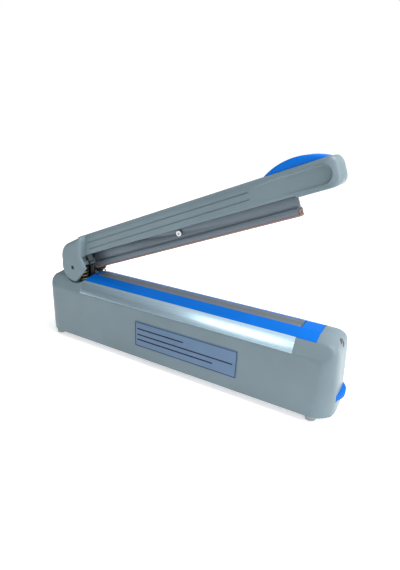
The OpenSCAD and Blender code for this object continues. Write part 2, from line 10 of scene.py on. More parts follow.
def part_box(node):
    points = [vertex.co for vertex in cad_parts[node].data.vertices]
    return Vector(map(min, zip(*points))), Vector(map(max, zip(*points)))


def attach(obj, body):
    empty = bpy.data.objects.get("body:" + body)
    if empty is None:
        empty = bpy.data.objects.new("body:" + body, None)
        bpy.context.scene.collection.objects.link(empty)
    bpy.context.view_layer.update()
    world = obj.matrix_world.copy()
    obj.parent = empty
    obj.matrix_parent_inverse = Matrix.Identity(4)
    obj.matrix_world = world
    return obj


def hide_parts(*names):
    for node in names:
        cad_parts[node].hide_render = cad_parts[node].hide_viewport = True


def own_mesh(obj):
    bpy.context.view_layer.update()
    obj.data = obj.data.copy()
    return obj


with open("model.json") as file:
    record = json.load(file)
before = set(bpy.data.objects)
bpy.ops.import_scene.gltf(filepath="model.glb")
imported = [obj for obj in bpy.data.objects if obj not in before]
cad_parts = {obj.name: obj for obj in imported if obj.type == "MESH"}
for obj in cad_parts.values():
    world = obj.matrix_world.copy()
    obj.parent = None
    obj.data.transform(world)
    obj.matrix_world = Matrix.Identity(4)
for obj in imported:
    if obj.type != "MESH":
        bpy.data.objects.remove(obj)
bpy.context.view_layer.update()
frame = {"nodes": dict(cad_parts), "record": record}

MM = 0.001
NODES = frame["nodes"]
RECORD = frame["record"]
SLOT_OF = {part["node"]: part["material_slot"] for part in RECORD["subparts"]}

# ---- camera -------------------------------------------------------------------------

TURN, TILT, ROLL = math.radians(28.86), math.radians(20.80), math.radians(-2.146)
EYE, LENS = (0.2735, -0.4440, 0.3154), 26.355


def make_camera():
    ahead = Vector((-math.sin(TURN) * math.cos(TILT), math.cos(TURN) * math.cos(TILT), -math.sin(TILT)))
    level = Vector((math.cos(TURN), math.sin(TURN), 0))
    down = ahead.cross(level)
    right = math.cos(ROLL) * level + math.sin(ROLL) * down
    low = -math.sin(ROLL) * level + math.cos(ROLL) * down
    data = bpy.data.cameras.new("camera")
    data.sensor_width = 36
    data.lens = LENS
    data.clip_start = 0.01
    data.dof.use_dof = False
    cam = bpy.data.objects.new("camera", data)
    bpy.context.scene.collection.objects.link(cam)
    turned = Matrix((right, -low, -ahead)).transposed().to_4x4()
    cam.matrix_world = Matrix.Translation(EYE) @ turned
    bpy.context.scene.camera = cam


make_camera()

# ---- outlines -----------------------------------------------------------------------
# Lengths in this part are millimetres; pieces are turned to metres when they are finished.


def corner(a, b, c, r, steps):
    """The arc that rounds corner b between neighbours a and c."""
    if r <= 0:
        return [tuple(b)]
    a, b, c = Vector(a), Vector(b), Vector(c)
    u, v = (a - b).normalized(), (c - b).normalized()
    half = math.acos(max(-1, min(1, u.dot(v)))) / 2
    mid = b + (u + v).normalized() * (r / math.sin(half))
    p = b + u * (r / math.tan(half)) - mid
    q = b + v * (r / math.tan(half)) - mid
    start = math.atan2(p.y, p.x)
    sweep = math.atan2(p.x * q.y - p.y * q.x, p.dot(q))
    turns = [start + sweep * i / steps for i in range(steps + 1)]
    return [(mid.x + r * math.cos(turn), mid.y + r * math.sin(turn)) for turn in turns]


def rounded(pts, radii, steps=10):
    """A closed outline with a radius at each corner."""
    k = len(pts)
    return [p for i in range(k) for p in corner(pts[i - 1], pts[i], pts[(i + 1) % k], radii[i], steps)]


def mirrored(pts):
    return [(-x, z) for x, z in reversed(pts)]


def depth(px, py, outline):
    """Signed distance of points to a closed outline, below zero inside."""
    pts = np.array(outline, float)
    ends = np.roll(pts, -1, axis=0)
    near = np.full(len(px), 1e18)
    inside = np.zeros(len(px), bool)
    for (ax, ay), (bx, by) in zip(pts, ends):
        ex, ey = bx - ax, by - ay
        size = ex * ex + ey * ey
        if size < 1e-12:
            continue
        wx, wy = px - ax, py - ay
        t = np.clip((wx * ex + wy * ey) / size, 0, 1)
        near = np.minimum(near, (wx - t * ex) ** 2 + (wy - t * ey) ** 2)
        if ay != by:
            crosses = (ay > py) != (by > py)
            inside ^= crosses & (px < ex * (py - ay) / (by - ay) + ax)
    d = np.sqrt(near)
    return np.where(inside, -d, d)


def both(a, b, soft):
    """The part that two forms share, with their crossing edge rounded over."""
    h = np.maximum(soft - np.abs(a - b), 0) / soft
    return np.maximum(a, b) + h * h * soft / 4


# ---- mesh helpers -------------------------------------------------------------------

CRISP = 32.0  # degrees; an edge that turns more than this stays sharp
FLAT = math.radians(0.6)  # faces that differ by less are one face


def to_object(bm, name, smooth_angle=CRISP, place=None, unit=MM):
    """Finishes a bmesh as an object in metres, soft inside and crisp at its edges."""
    bmesh.ops.remove_doubles(bm, verts=bm.verts, dist=1e-5)
    if place is not None:
        bmesh.ops.transform(bm, matrix=place, verts=bm.verts)
    if unit != 1:
        bmesh.ops.scale(bm, vec=(unit, unit, unit), verts=bm.verts)
    mark_edges(bm, smooth_angle)
    mesh = bpy.data.meshes.new(name)
    bm.to_mesh(mesh)
    bm.free()
    obj = bpy.data.objects.new(name, mesh)
    bpy.context.scene.collection.objects.link(obj)
    return obj


def mark_edges(bm, smooth_angle):
    limit = math.radians(smooth_angle)
    for f in bm.faces:
        f.smooth = True
    for e in bm.edges:
        e.smooth = len(e.link_faces) == 2 and e.calc_face_angle(0) < limit


def block(x, y, z):
    bm = bmesh.new()
    bmesh.ops.create_cube(bm, size=1)
    bmesh.ops.scale(bm, vec=(x[1] - x[0], y[1] - y[0], z[1] - z[0]), verts=bm.verts)
    bmesh.ops.translate(bm, vec=((x[0] + x[1]) / 2, (y[0] + y[1]) / 2, (z[0] + z[1]) / 2), verts=bm.verts)
    return bm


def drum(r, at, length, axis, segments=96):
    """A round bar or hole that starts at a point and runs along an axis."""
    bm = bmesh.new()
    bmesh.ops.create_cone(bm, cap_ends=True, segments=segments, radius1=r, radius2=r, depth=length)
    bmesh.ops.translate(bm, vec=(0, 0, length / 2), verts=bm.verts)
    turn = Vector(axis).to_track_quat("Z", "Y").to_matrix().to_4x4()
    bmesh.ops.transform(bm, matrix=Matrix.Translation(at) @ turn, verts=bm.verts)
    return bm


def prism(outline, along, low, high):
    """An outline pushed along an axis: X takes (y, z), Y takes (x, z), Z takes (x, y)."""
    axis = "XYZ".index(along)
    bm = bmesh.new()
    face = bm.faces.new([bm.verts.new((*p[:axis], low, *p[axis:])) for p in outline])
    pushed = bmesh.ops.extrude_face_region(bm, geom=[face])["geom"]
    way = Vector((0, 0, 0))
    way[axis] = high - low
    bmesh.ops.translate(bm, vec=way, verts=[v for v in pushed if isinstance(v, bmesh.types.BMVert)])
    bmesh.ops.recalc_face_normals(bm, faces=bm.faces)
    return bm


def shaped(corners, cells, field, spine, stations=None):
    """A block whose skin is drawn in until it lies on the form that field describes."""
    (x0, x1), (y0, y1), (z0, z1) = corners
    bm = block((x0, x1), (y0, y1), (z0, z1))
    for axis, cuts in enumerate(cells):
        along = [e for e in bm.edges if abs((e.verts[0].co - e.verts[1].co)[axis]) > 1e-6]
        bmesh.ops.subdivide_edges(bm, edges=along, cuts=cuts - 1, use_grid_fill=True)
    bm.verts.ensure_lookup_table()
    co = np.array([v.co for v in bm.verts], float)
    if stations is not None:
        t = (co[:, 0] - x0) / (x1 - x0)
        co[:, 0] = np.interp(t, np.linspace(0, 1, len(stations)), stations)
    heart = np.stack([np.clip(co[:, 0], spine[0], spine[1]),
                      np.full(len(co), spine[2]), np.full(len(co), spine[3])], axis=1)
    ray = co - heart
    low, high = np.zeros(len(co)), np.ones(len(co)) * 1.3
    for _ in range(26):
        mid = (low + high) / 2
        p = heart + ray * mid[:, None]
        out = field(p[:, 0], p[:, 1], p[:, 2]) > 0
        high = np.where(out, mid, high)
        low = np.where(out, low, mid)
    p = heart + ray * ((low + high) / 2)[:, None]
    for v, q in zip(bm.verts, p):
        v.co = q
    bmesh.ops.recalc_face_normals(bm, faces=bm.faces)
    return bm


def break_edges(bm, edges, width, clamp=True):
    """Rounds edges over by a small width."""
    bmesh.ops.bevel(bm, geom=edges, offset=width, offset_type="OFFSET", affect="EDGES", segments=2,
                    profile=0.5, material=-1, clamp_overlap=clamp)


def carve(bm, other, how):
    """bm with the form of other taken away, added or shared."""
    objs = []
    for name, b in (("carve_a", bm), ("carve_b", other)):
        mesh = bpy.data.meshes.new(name)
        b.to_mesh(mesh)
        b.free()
        o = bpy.data.objects.new(name, mesh)
        bpy.context.scene.collection.objects.link(o)
        objs.append(o)
    mod = objs[0].modifiers.new("carve", "BOOLEAN")
    mod.operation = how
    mod.solver = "EXACT"
    mod.object = objs[1]
    bpy.context.view_layer.update()
    done = bpy.data.meshes.new_from_object(objs[0].evaluated_get(bpy.context.evaluated_depsgraph_get()))
    out = bmesh.new()
    out.from_mesh(done)
    for o in objs:
        mesh = o.data
        bpy.data.objects.remove(o)
        bpy.data.meshes.remove(mesh)
    bpy.data.meshes.remove(done)
    return out


def cut(bm, *others):
    for o in others:
        bm = carve(bm, o, "DIFFERENCE")
    return bm


def join(bm, *others):
    for o in others:
        bm = carve(bm, o, "UNION")
    return bm


def share(bm, other):
    return carve(bm, other, "INTERSECT")


# ---- finishes -----------------------------------------------------------------------


SETTINGS = ("operation", "data_type", "wave_type", "bands_direction", "samples")
FLOAT = "NodeSocketFloat"
MIDDLE = (0.3, 0.7)  # where most of a noise value lies


def feed(tree, value, socket):
    """Links a socket's value to an input, or sets a plain value there."""
    if isinstance(value, bpy.types.NodeSocket):
        tree.links.new(value, socket)
    else:
        socket.default_value = value


def put(tree, kind, **values):
    """A node with its settings, and with its inputs by name, or by number as _0 and _1."""
    node = tree.nodes.new(kind)
    for key, value in values.items():
        if key in SETTINGS:
            setattr(node, key, value)
        else:
            feed(tree, value, node.inputs[int(key[1:]) if key[0] == "_" else key.replace("_", " ")])
    return node


def group(name, inputs, outputs):
    tree = bpy.data.node_groups.new(name, "ShaderNodeTree")
    for label, kind, value in inputs:
        socket = tree.interface.new_socket(name=label, in_out="INPUT", socket_type=kind)
        socket.default_value = value
    for label, kind in outputs:
        tree.interface.new_socket(name=label, in_out="OUTPUT", socket_type=kind)
    return tree, tree.nodes.new("NodeGroupInput").outputs, tree.nodes.new("NodeGroupOutput").inputs


def noise(tree, where, scale, detail=2.0, rough=0.5):
    node = put(tree, "ShaderNodeTexNoise", Vector=where, Scale=scale, Detail=detail, Roughness=rough)
    return node.outputs["Fac"]


def spread(tree, value, a, b, c, d):
    """The range a to b of a value carried over to c to d, and held at its ends."""
    node = put(tree, "ShaderNodeMapRange", Value=value, From_Min=a, From_Max=b, To_Min=c, To_Max=d)
    return node.outputs["Result"]


def calc(tree, operation, a, b=0.0):
    return put(tree, "ShaderNodeMath", operation=operation, _0=a, _1=b).outputs[0]


def moulded_skin():
    """Spark-eroded texture of a moulding: cloudy tone, fine pits and a change in gloss."""
    tree, given, out = group("moulded skin", [("Pit size", FLOAT, 0.0007), ("Cloud size", FLOAT, 0.06)],
                             [("Tone", FLOAT), ("Height", FLOAT), ("Gloss", FLOAT)])
    where = tree.nodes.new("ShaderNodeTexCoord").outputs["Object"]
    fine = noise(tree, where, calc(tree, "DIVIDE", 1.0, given["Pit size"]), 3.0, 0.6)
    cloud = noise(tree, where, calc(tree, "DIVIDE", 1.0, given["Cloud size"]), 4.0, 0.55)
    tree.links.new(cloud, out["Tone"])
    tree.links.new(fine, out["Height"])
    gloss = calc(tree, "ADD", calc(tree, "MULTIPLY", fine, 0.6), calc(tree, "MULTIPLY", cloud, 0.4))
    tree.links.new(gloss, out["Gloss"])
    return tree


def rubbed_edges():
    """Where handling has polished the outer edges."""
    tree, given, out = group("rubbed edges", [("Reach", FLOAT, 0.0008)], [("Rub", FLOAT)])
    soft = put(tree, "ShaderNodeBevel", samples=4, Radius=given["Reach"]).outputs["Normal"]
    flat = tree.nodes.new("ShaderNodeNewGeometry").outputs["Normal"]
    same = put(tree, "ShaderNodeVectorMath", operation="DOT_PRODUCT", _0=soft, _1=flat).outputs["Value"]
    where = tree.nodes.new("ShaderNodeTexCoord").outputs["Object"]
    patch = spread(tree, noise(tree, where, 160.0, 3.0), 0.35, 0.7, 0.25, 1.0)
    tree.links.new(calc(tree, "MULTIPLY", spread(tree, same, 0.995, 0.86, 0.0, 1.0), patch), out["Rub"])
    return tree


def drawn_grain():
    """Long fine lines of drawn, rolled or extruded metal, along the piece."""
    tree, given, out = group("drawn grain", [("Line size", FLOAT, 0.0004), ("Line length", FLOAT, 0.06)],
                             [("Lines", FLOAT), ("Smudge", FLOAT)])
    where = tree.nodes.new("ShaderNodeTexCoord").outputs["Object"]
    fine = calc(tree, "DIVIDE", 1.0, given["Line size"])
    slow = calc(tree, "DIVIDE", 1.0, given["Line length"])
    sizes = put(tree, "ShaderNodeCombineXYZ", X=slow, Y=fine, Z=fine).outputs[0]
    drawn = put(tree, "ShaderNodeVectorMath", operation="MULTIPLY", _0=where, _1=sizes).outputs[0]
    tree.links.new(noise(tree, drawn, 1.0, 3.0, 0.65), out["Lines"])
    tree.links.new(noise(tree, where, 45.0, 3.0, 0.6), out["Smudge"])
    return tree


def woven_glass():
    """Plain weave of the coated cloth, with darker scorched bands near the middle line."""
    tree, given, out = group("woven glass", [("Thread", FLOAT, 0.0006), ("Middle", FLOAT, 0.0016)],
                             [("Weave", FLOAT), ("Scorch", FLOAT), ("Tone", FLOAT)])
    where = tree.nodes.new("ShaderNodeTexCoord").outputs["Object"]
    step = calc(tree, "DIVIDE", 0.5, given["Thread"])
    warp, weft = (put(tree, "ShaderNodeTexWave", wave_type="BANDS", bands_direction=way, Vector=where,
                      Scale=step, Distortion=0.6).outputs["Fac"] for way in "XY")
    tree.links.new(calc(tree, "MAXIMUM", warp, weft), out["Weave"])
    parts = put(tree, "ShaderNodeSeparateXYZ", Vector=where).outputs
    off = calc(tree, "ABSOLUTE", parts["Y"])
    blot = noise(tree, where, 60.0, 4.0, 0.6)
    band = spread(tree, off, given["Middle"], 0.0042, 1.0, 0.0)
    tree.links.new(calc(tree, "MULTIPLY", band, spread(tree, blot, 0.3, 0.7, 0.35, 1.0)), out["Scorch"])
    tree.links.new(blot, out["Tone"])
    return tree


def wound_wire():
    """Turns of enamelled wire under thin tape, or the edges of stacked laminations."""
    given = [("Pitch", FLOAT, 0.0007), ("Along", "NodeSocketVector", (0, 0, 1))]
    tree, given, out = group("wound wire", given, [("Turns", FLOAT), ("Tone", FLOAT)])
    where = tree.nodes.new("ShaderNodeTexCoord").outputs["Object"]
    run = put(tree, "ShaderNodeVectorMath", operation="DOT_PRODUCT", _0=where, _1=given["Along"])
    saw = calc(tree, "PINGPONG", calc(tree, "DIVIDE", run.outputs["Value"], given["Pitch"]), 0.5)
    tree.links.new(calc(tree, "MULTIPLY", saw, 2.0), out["Turns"])
    tree.links.new(noise(tree, where, 250.0, 3.0), out["Tone"])
    return tree


def light_dust():
    """A little dust that settles on surfaces that look up."""
    tree, given, out = group("light dust", [("Cover", FLOAT, 0.25)], [("Dust", FLOAT)])
    coords = tree.nodes.new("ShaderNodeTexCoord").outputs
    up = put(tree, "ShaderNodeSeparateXYZ", Vector=coords["Normal"]).outputs["Z"]
    specks = spread(tree, noise(tree, coords["Object"], 420.0, 5.0, 0.7), 0.45, 0.75, 0.2, 1.0)
    lying = calc(tree, "MULTIPLY", spread(tree, up, 0.35, 0.95, 0.0, 1.0), specks)
    tree.links.new(calc(tree, "MULTIPLY", lying, given["Cover"]), out["Dust"])
    return tree


SKIN, RUB, DRAWN = moulded_skin(), rubbed_edges(), drawn_grain()
CLOTH, WOUND, DUST = woven_glass(), wound_wire(), light_dust()


def use(tree, made, **values):
    """A node group put to use, with its inputs by name."""
    node = tree.nodes.new("ShaderNodeGroup")
    node.node_tree = made
    for key, value in values.items():
        feed(tree, value, node.inputs[key.replace("_", " ")])
    return node.outputs


def mixed(tree, amount, a, b):
    return put(tree, "ShaderNodeMix", data_type="RGBA", _0=amount, _6=a, _7=b).outputs[2]


def blank(name):
    made = bpy.data.materials.new(name)
    made.use_nodes = True
    tree = made.node_tree
    shader = tree.nodes["Principled BSDF"]
    return made, tree, shader


def shade(colour, by):
    return tuple(min(1.0, c * by) for c in colour) + (1.0,)


def toned(tree, value, colour, dark, light):
    """A colour that a noise value varies from dark to light."""
    return mixed(tree, spread(tree, value, *MIDDLE, 0.0, 1.0), shade(colour, dark), shade(colour, light))


def roughened(tree, shader, value, low, high):
    tree.links.new(spread(tree, value, *MIDDLE, low, high), shader.inputs["Roughness"])


def bumped(tree, shader, height, distance):
    bump = put(tree, "ShaderNodeBump", Height=height, Distance=distance, Strength=1.0)
    tree.links.new(bump.outputs["Normal"], shader.inputs["Normal"])


def plastic(name, colour, rough=0.42, pit=0.0007, pit_depth=0.00002, rub=0.18, dust=0.2, coat=0.0,
            specular=0.5):
    made, tree, shader = blank(name)
    shader.inputs["Specular IOR Level"].default_value = specular
    skin = use(tree, SKIN, Pit_size=pit, Cloud_size=0.06)
    tone = toned(tree, skin["Tone"], colour, 0.93, 1.07)
    edge = use(tree, RUB, Reach=0.0008)["Rub"]
    worn = shade(tuple(c * 0.6 + 0.3 for c in colour), 1.0)
    tone = mixed(tree, calc(tree, "MULTIPLY", edge, rub), tone, worn)
    if dust:
        tone = mixed(tree, use(tree, DUST, Cover=dust)["Dust"], tone, (0.55, 0.55, 0.52, 1.0))
    tree.links.new(tone, shader.inputs["Base Color"])
    roughened(tree, shader, skin["Gloss"], rough - 0.05, rough + 0.07)
    shader.inputs["Coat Weight"].default_value = coat
    shader.inputs["Coat Roughness"].default_value = 0.12
    bumped(tree, shader, skin["Height"], pit_depth)
    return made


def metal(name, colour, rough=0.28, line=0.0004, length=0.06, depth_of=0.000008, rub=0.3, metallic=1.0,
          vary=1.0):
    made, tree, shader = blank(name)
    grain = use(tree, DRAWN, Line_size=line, Line_length=length)
    tone = toned(tree, grain["Lines"], colour, 0.9, 1.06)
    edge = use(tree, RUB, Reach=0.0005)["Rub"]
    tone = mixed(tree, calc(tree, "MULTIPLY", edge, rub), tone, shade(colour, 1.3))
    tree.links.new(tone, shader.inputs["Base Color"])
    lines, smudge = (calc(tree, "MULTIPLY", grain[label], 0.5) for label in ("Lines", "Smudge"))
    roughened(tree, shader, calc(tree, "ADD", lines, smudge), rough - 0.06 * vary, rough + 0.1 * vary)
    shader.inputs["Metallic"].default_value = metallic
    bumped(tree, shader, grain["Lines"], depth_of)
    return made


def cloth(name, colour, scorched):
    made, tree, shader = blank(name)
    weave = use(tree, CLOTH)
    tone = toned(tree, weave["Tone"], colour, 0.88, 1.1)
    tone = mixed(tree, calc(tree, "MULTIPLY", weave["Scorch"], 0.6), tone, shade(scorched, 1.0))
    tone = mixed(tree, spread(tree, weave["Weave"], 0.2, 1.0, 0.35, 0.0), tone, shade(colour, 0.6))
    tree.links.new(tone, shader.inputs["Base Color"])
    tree.links.new(spread(tree, weave["Weave"], 0.2, 1.0, 0.5, 0.32), shader.inputs["Roughness"])
    bumped(tree, shader, weave["Weave"], 0.00004)
    return made


def layered(name, colour, pitch, along, rough=0.4, metallic=0.0, deep=0.0001):
    made, tree, shader = blank(name)
    wound = use(tree, WOUND, Pitch=pitch, Along=along)
    tone = toned(tree, wound["Tone"], colour, 0.8, 1.15)
    tone = mixed(tree, spread(tree, wound["Turns"], 0.0, 0.35, 0.7, 0.0), tone, shade(colour, 0.35))
    tree.links.new(tone, shader.inputs["Base Color"])
    roughened(tree, shader, wound["Tone"], rough - 0.08, rough + 0.1)
    shader.inputs["Metallic"].default_value = metallic
    bumped(tree, shader, wound["Turns"], deep)
    return made


def lens(name, colour):
    made, tree, shader = blank(name)
    skin = use(tree, SKIN, Pit_size=0.0025, Cloud_size=0.006)
    tone = mixed(tree, skin["Tone"], shade(colour, 0.7), shade(colour, 1.3))
    tree.links.new(tone, shader.inputs["Base Color"])
    roughened(tree, shader, skin["Gloss"], 0.08, 0.16)
    shader.inputs["Coat Weight"].default_value = 0.6
    bumped(tree, shader, skin["Height"], 0.00002)
    return made


FINISH = {
    "housing": plastic("grey_housing_plastic", (0.138, 0.188, 0.213), rough=0.36, rub=0.12,
                       dust=0.06, specular=0.3),
    "blue_plastic": plastic("blue_plastic", (0.001, 0.125, 0.52), rough=0.45, pit_depth=0.000008,
                            rub=0.04, dust=0.0, specular=0.1),
    # The blue tint in this silver colour is painted reflection of the surroundings; the sheet itself is
    # plain bright metal.
    "bright_trim": metal("bright_trim_sheet", (0.62, 0.83, 0.99), rough=0.24, line=0.0009,
                         length=0.30, depth_of=0.0000002, rub=0.0, vary=0.2),
    "bar_aluminium": metal("extruded_aluminium", (0.13, 0.16, 0.188), rough=0.42, line=0.0006,
                           length=0.12, metallic=0.8),
    # Black given to the hinge bracket and pin as painted shade: it darkens the arm's front opening, where
    # there is only shadow.
    "black_steel": metal("steel_black_as_painted_shade", (0.035, 0.035, 0.04), rough=0.42, line=0.0012, length=0.01),
    "zinc_steel": metal("zinc_sheet", (0.50, 0.52, 0.55), rough=0.38, line=0.0015, length=0.01),
    "screw_steel": metal("nickel_screws", (0.66, 0.67, 0.69), rough=0.24, line=0.0003, length=0.002),
    "nichrome": metal("heating_ribbon_wire", (0.42, 0.40, 0.38), rough=0.40, line=0.0003, length=0.03),
    "brass_parts": metal("brass", (0.72, 0.54, 0.22), rough=0.30),
    # Dark yellowish spring wire; its darkness is painted shade, so the springs sit as dark as the shadowed
    # opening by the knuckle.
    "spring_wire": metal("spring_wire", (0.20, 0.175, 0.10), rough=0.34, line=0.0004, length=0.004),
    "coated_cloth": cloth("coated_cloth", (0.105, 0.135, 0.165), (0.08, 0.065, 0.05)),
    "red_silicone": plastic("red_silicone", (0.20, 0.115, 0.10), rough=0.55, pit=0.0004, rub=0.3,
                            dust=0.1),
    "foot_rubber": plastic("foot_rubber", (0.23, 0.26, 0.26), rough=0.62, pit=0.0005, rub=0.3,
                           dust=0.0),
    "black_rubber": plastic("black_rubber", (0.022, 0.022, 0.024), rough=0.6, pit=0.0005, rub=0.25,
                            dust=0.1),
    # Also worn by the switch plunger, whose black there is painted shade in the arm's dark front opening.
    "black_plastic": plastic("black_plastic", (0.02, 0.02, 0.023), rough=0.45, rub=0.2, dust=0.05),
    "white_plastic": plastic("nylon", (0.72, 0.70, 0.62), rough=0.42, rub=0.1, dust=0.0),
    "plate_face": plastic("plate_face", (0.095, 0.16, 0.255), rough=0.4, pit=0.0004,
                          pit_depth=0.000006, rub=0.05, dust=0.0, specular=0.25),
    "plate_ink": plastic("plate_ink", (0.006, 0.012, 0.035), rough=0.5, pit=0.0004,
                         pit_depth=0.000004, rub=0.0, dust=0.0, specular=0.1),
    "phenolic": layered("brown_laminate", (0.14, 0.065, 0.03), 0.0005, (0, 0, 1), rough=0.45,
                        deep=0.00003),
    "core_steel": layered("core_laminations", (0.17, 0.18, 0.19), 0.0006, (0, 1, 0), rough=0.42,
                          metallic=0.7),
    "copper_coil": layered("wound_copper", (0.46, 0.18, 0.055), 0.0007, (0, 0, 1), rough=0.35),
    "circuit_board": plastic("solder_mask", (0.02, 0.14, 0.06), rough=0.28, pit=0.002, rub=0.1,
                             dust=0.0, coat=0.4),
    "capacitor_sleeve": plastic("capacitor_sleeve", (0.02, 0.03, 0.10), rough=0.25, rub=0.1, dust=0.0),
    "lamp_red": lens("lamp_lens", (0.05, 0.008, 0.010)),
}

# ---- placing pieces -----------------------------------------------------------------


def fit(obj, body, finish, *nodes):
    obj.data.materials.clear()
    obj.data.materials.append(FINISH[finish])
    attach(obj, body)
    if nodes:
        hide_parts(*nodes)
    return obj


def softened(node, name, body, width):
    """A copy of a node with its sharp edges broken, as a tool or a mould leaves them."""
    bm = bmesh.new()
    bm.from_mesh(NODES[node].data)
    bmesh.ops.remove_doubles(bm, verts=bm.verts, dist=2e-6)
    bmesh.ops.dissolve_limit(bm, angle_limit=FLAT, verts=bm.verts, edges=bm.edges)
    limit = math.radians(CRISP)
    sharp = [e for e in bm.edges if len(e.link_faces) == 2 and e.calc_face_angle(0) > limit]
    break_edges(bm, sharp, width)
    return fit(to_object(bm, name, unit=1), body, SLOT_OF[node], node)


for node_name, node in NODES.items():
    node.data.materials.clear()
    node.data.materials.append(FINISH[SLOT_OF[node_name]])

# ---- base housing -------------------------------------------------------------------

BODY_L, BODY_W, SHOULDER_W, SHOULDER_Z, TOP_Z = 448.0, 73.0, 70.0, 81.5, 105.0
BED_W, BED_EDGE_Z, RIDGE_W, FOOT_H = 51.0, 99.0, 19.4, 9.0
PIVOT = (-168.0, 116.5)
TROUGH_R = 24.2
LAMP_TILT = 60.0
WALL = 2.6
REAR = -BODY_L / 2
CORD_Z = 34
SPRING_X, SPRING_Y, SPRING_LOW = PIVOT[0] + 12.4, 19, 93.1


def base_section(t, low=0.0):
    half = [(BODY_W / 2 - t, low), (SHOULDER_W / 2 - t, SHOULDER_Z - 0.4 * t),
            (BED_W / 2 - 0.62 * t, BED_EDGE_Z - 0.85 * t), (RIDGE_W / 2 - 0.2 * t, TOP_Z - t)]
    return rounded(half + mirrored(half), [0, 9, 5, 3, 3, 5, 9, 0], 8)


def base_plan(t):
    x, y = BODY_L / 2 - t, BODY_W / 2 - t
    return rounded([(-x + 3.5, -y), (x - 3.5, -y), (x, 0), (x - 3.5, y), (-x + 3.5, y), (-x, 0)],
                   [24 - t, 29 - t, 90, 29 - t, 24 - t, 90], 12)


def base_side(t, low=FOOT_H):
    x, high, belly = BODY_L / 2 - t, TOP_Z - t, FOOT_H + 14
    heel = 5 if low == FOOT_H else 0
    return rounded([(-x + 1, low), (x - 1, low), (x, belly), (x - 8, high), (-x + 8, high), (-x, belly)],
                   [heel, heel, 14, 24 - t, 24 - t, 14], 10)


def base_form(t, low=FOOT_H, fine=1.0):
    """The housing's outer form drawn in by t; fine sets how many cells its skin has."""
    section, plan = base_section(t, low - 10), base_plan(t)
    open_side, side = base_side(t, low - 10), base_side(t, low)

    def field(x, y, z):
        d = both(depth(y, z, section), depth(x, z, open_side), 7.0)
        soft = 6.0 * np.clip((np.abs(x) - 198) / 22, 1e-4, 1)  # the flanks stay flat
        return np.maximum(both(d, depth(x, y, plan), soft), depth(x, z, side))

    ends = int(16 * fine)
    stations = np.concatenate([np.linspace(-225, -194, ends), np.linspace(-176, 176, 8),
                               np.linspace(188, 225, ends)])
    cells = (len(stations) - 1, int(36 * fine), int(44 * fine))
    return shaped(((-225, 225), (-37, 37), (low - 0.5, 106)), cells, field, (-176, 176, 0, 52), stations)


def on_slope(side):
    """Flat work on a flank's slope: X along the base, Y up the slope, Z outwards."""
    lean = Matrix.Rotation(math.atan2(BED_EDGE_Z - SHOULDER_Z, (SHOULDER_W - BED_W) / 2), 4, "X")
    place = Matrix.Translation((0, -SHOULDER_W / 2, SHOULDER_Z)) @ lean
    return place if side < 0 else Matrix.Scale(-1, 4, (0, 1, 0)) @ place


SLOPE_W = math.hypot(BED_EDGE_Z - SHOULDER_Z, (SHOULDER_W - BED_W) / 2)


def timer_slot():
    """The room for the timer wheel, a little larger than the wheel and open to the handle end."""
    low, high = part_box("timer_wheel")
    slot = drum(26.8, (201, 0, low.z / MM - 0.8), (high.z - low.z) / MM + 1.6, (0, 0, 1), 128)
    bmesh.ops.bisect_plane(slot, geom=slot.verts[:] + slot.edges[:] + slot.faces[:], plane_co=(204, 0, 0),
                           plane_no=(-1, 0, 0), clear_outer=True)
    bmesh.ops.holes_fill(slot, edges=[e for e in slot.edges if e.is_boundary])
    bmesh.ops.recalc_face_normals(slot, faces=slot.faces)
    return slot


def base_housing():
    inset = base_form(0.6, FOOT_H, 0.7)
    bm = base_form(0)
    bm = cut(bm, base_form(WALL, -4.0, 0.6), prism(base_plan(1.5), "Z", 4, FOOT_H + 1.6))
    bm = join(bm, share(drum(TROUGH_R + WALL, (PIVOT[0], -60, PIVOT[1]), 120, (0, 1, 0), 128), inset.copy()))
    for y in (-SPRING_Y, SPRING_Y):
        bm = join(bm, drum(8, (SPRING_X, y, 89.5), 8.0, (0, 0, 1), 48))
    bm = join(bm, share(drum(10.5, (REAR, 0, CORD_Z), 6.6, (1, 0, 0), 64), inset))
    bm = cut(bm, drum(TROUGH_R, (PIVOT[0], -60, PIVOT[1]), 120, (0, 1, 0), 128))
    half_seat = [(9.08, 101.9), (23.58, 96.4), (25.6, 92.7), (25.6, 112)]
    bm = cut(bm, prism(half_seat + mirrored(half_seat), "X", PIVOT[0], 191.15))
    for side in (-1, 1):
        plate = block((-152.2, 168.2), (0.5, SLOPE_W + 0.1), (-0.8, 2.2))
        bmesh.ops.transform(plate, matrix=on_slope(side), verts=plate.verts)
        bmesh.ops.recalc_face_normals(plate, faces=plate.faces)
        bm = cut(bm, plate)
        bm = cut(bm, block((PIVOT[0] - 8.4, PIVOT[0] + 8.4), sorted((side * 5.3, side * 7.9)), (80, 110)))
        bm = cut(bm, drum(6.4, (SPRING_X, side * SPRING_Y, 93), 20, (0, 0, 1), 48))
    bm = cut(bm, drum(3.15, (PIVOT[0] + 8.9, 0, 80), 30, (0, 0, 1), 32))
    bm = cut(bm, timer_slot())
    tilt = math.radians(LAMP_TILT)
    out = Vector((math.sin(tilt), 0, math.cos(tilt)))
    heart = Vector((BODY_L / 2 - 31.4, 0, TOP_Z - 23.4))
    bm = cut(bm, drum(4.9, heart + out * 11, 20, out, 48))
    bm = cut(bm, drum(6.0, (REAR - 5, 0, CORD_Z), 20, (1, 0, 0), 48),
             drum(8.8, (REAR - 5, 0, CORD_Z), 7.05, (1, 0, 0), 64))
    return fit(to_object(bm, "base_housing"), "base", "housing", "base_shell")


# ---- arm ----------------------------------------------------------------------------

